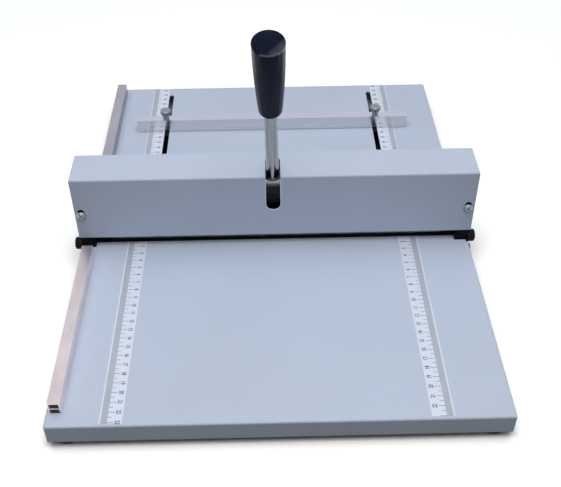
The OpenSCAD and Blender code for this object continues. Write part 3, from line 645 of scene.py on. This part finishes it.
def shown_rays(nodes, links):
    """1 for rays that show a surface as it looks: from the camera, a gloss or a clear piece."""
    rays = nodes.new("ShaderNodeLightPath").outputs
    some = math_node(nodes, links, "ADD", rays["Is Camera Ray"], rays["Is Glossy Ray"])
    total = math_node(nodes, links, "ADD", some.outputs["Value"], rays["Is Transmission Ray"])
    total.use_clamp = True
    return total.outputs["Value"]


def smooth_step(nodes, links, value, low, high):
    """0 where the value is under low, 1 where it is over high."""
    ramp = nodes.new("ShaderNodeMapRange")
    ramp.interpolation_type = "SMOOTHSTEP"
    ramp.inputs["From Min"].default_value = low
    ramp.inputs["From Max"].default_value = high
    links.new(value, ramp.inputs["Value"])
    return ramp.outputs["Result"]


def mix_shaders(nodes, links, share, first, second):
    """The first shader, and by share the second."""
    mix = nodes.new("ShaderNodeMixShader")
    links.new(share, mix.inputs["Fac"])
    links.new(first.outputs[0], mix.inputs[1])
    links.new(second.outputs[0], mix.inputs[2])
    return mix


def beside_machine(nodes, links):
    """0 in the painted shadow on the floor well under the machine, 1 beside it."""
    place = nodes.new("ShaderNodeTexCoord").outputs["Object"]
    axes = nodes.new("ShaderNodeSeparateXYZ")
    links.new(place, axes.inputs["Vector"])
    reach = []
    for axis, half in (("X", cad_high.x), ("Y", cad_high.y)):
        size = math_node(nodes, links, "ABSOLUTE", axes.outputs[axis]).outputs["Value"]
        reach.append(smooth_step(nodes, links, size, half - UNDER_EDGE, half))
    return math_node(nodes, links, "MAXIMUM", *reach).outputs["Value"]


def far_from_machine(nodes, links):
    """0 on the floor near the machine, where its shadow lies, 1 far away."""
    place = nodes.new("ShaderNodeTexCoord").outputs["Object"]
    distance = nodes.new("ShaderNodeVectorMath")
    distance.operation = "LENGTH"
    links.new(place, distance.inputs[0])
    return smooth_step(nodes, links, distance.outputs["Value"], *FLOOR_PLAIN)


def make_floor():
    """A white floor that keeps the object's shadow, and throws little light back at it.

    Well under the machine, where only the slots show it, it is darkened by a painted shadow.
    Far away it is plain white, without the lamps' fall-off."""
    mesh = bmesh.new()
    bmesh.ops.create_grid(mesh, x_segments=2, y_segments=2, size=FLOOR_SIZE / 2)
    data = bpy.data.meshes.new("floor")
    mesh.to_mesh(data)
    mesh.free()
    material = bpy.data.materials.new("floor_white")
    material.use_nodes = True
    nodes, links = material.node_tree.nodes, material.node_tree.links
    nodes.remove(nodes["Principled BSDF"])
    bounce = nodes.new("ShaderNodeBsdfDiffuse")
    bounce.inputs["Color"].default_value = FLOOR_BOUNCE
    shown = nodes.new("ShaderNodeBsdfDiffuse")
    colour = nodes.new("ShaderNodeMix")
    colour.data_type = "RGBA"
    colour.inputs["A"].default_value = FLOOR_PAINTED_SHADOW
    colour.inputs["B"].default_value = FLOOR_SHOWN
    # painted shadow: the floor's colour turns dark under the machine
    links.new(beside_machine(nodes, links), colour.inputs["Factor"])
    links.new(colour.outputs["Result"], shown.inputs["Color"])
    plain = nodes.new("ShaderNodeEmission")
    spread = mix_shaders(nodes, links, far_from_machine(nodes, links), shown, plain)
    mix = mix_shaders(nodes, links, shown_rays(nodes, links), bounce, spread)
    links.new(mix.outputs["Shader"], nodes["Material Output"].inputs["Surface"])
    data.materials.append(material)
    add_object("floor", data)


def make_world():
    """An even pale sky, white where it is seen."""
    world = bpy.data.worlds.new("studio")
    bpy.context.scene.world = world
    world.use_nodes = True
    nodes, links = world.node_tree.nodes, world.node_tree.links
    light = nodes["Background"]
    light.inputs["Color"].default_value = SKY_COLOUR
    light.inputs["Strength"].default_value = SKY_LIGHT
    shown = nodes.new("ShaderNodeBackground")
    shown.inputs["Color"].default_value = SKY_SHOWN
    mix = mix_shaders(nodes, links, shown_rays(nodes, links), light, shown)
    links.new(mix.outputs["Shader"], nodes["World Output"].inputs["Surface"])


def area_lamp(name, size, watts, place, target, colour):
    """A soft square lamp at place that faces target."""
    lamp = bpy.data.lights.new(name, "AREA")
    lamp.shape = "SQUARE"
    lamp.size = size
    lamp.energy = watts
    lamp.color = colour
    holder = add_object(name, lamp)
    holder.location = place
    aim = Vector(target) - Vector(place)
    holder.rotation_euler = aim.to_track_quat("-Z", "Y").to_euler()
    return holder


def make_lamps():
    """The two lamps. The key lamp doesn't mirror in the metal, whose tops would turn white."""
    area_lamp("key_lamp", *KEY_LAMP).visible_glossy = False
    area_lamp("front_lamp", *FRONT_LAMP)


def make_camera():
    """The camera, at the photograph's angle."""
    data = bpy.data.cameras.new("camera")
    data.lens = CAMERA_LENS
    data.shift_x = CAMERA_SHIFT_X
    camera = add_object("camera", data)
    camera.location = CAMERA_PLACE
    camera.rotation_euler = [math.radians(angle) for angle in CAMERA_TURN]
    bpy.context.scene.camera = camera


make_camera()
dress_model()
squash_springs()
print_scales()
hub_rim(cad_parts["cover_screws"].data.materials[0])
slot_edge(edge_paint().material)
make_floor()
make_world()
make_lamps()
bpy.context.scene.view_settings.view_transform = "Standard"
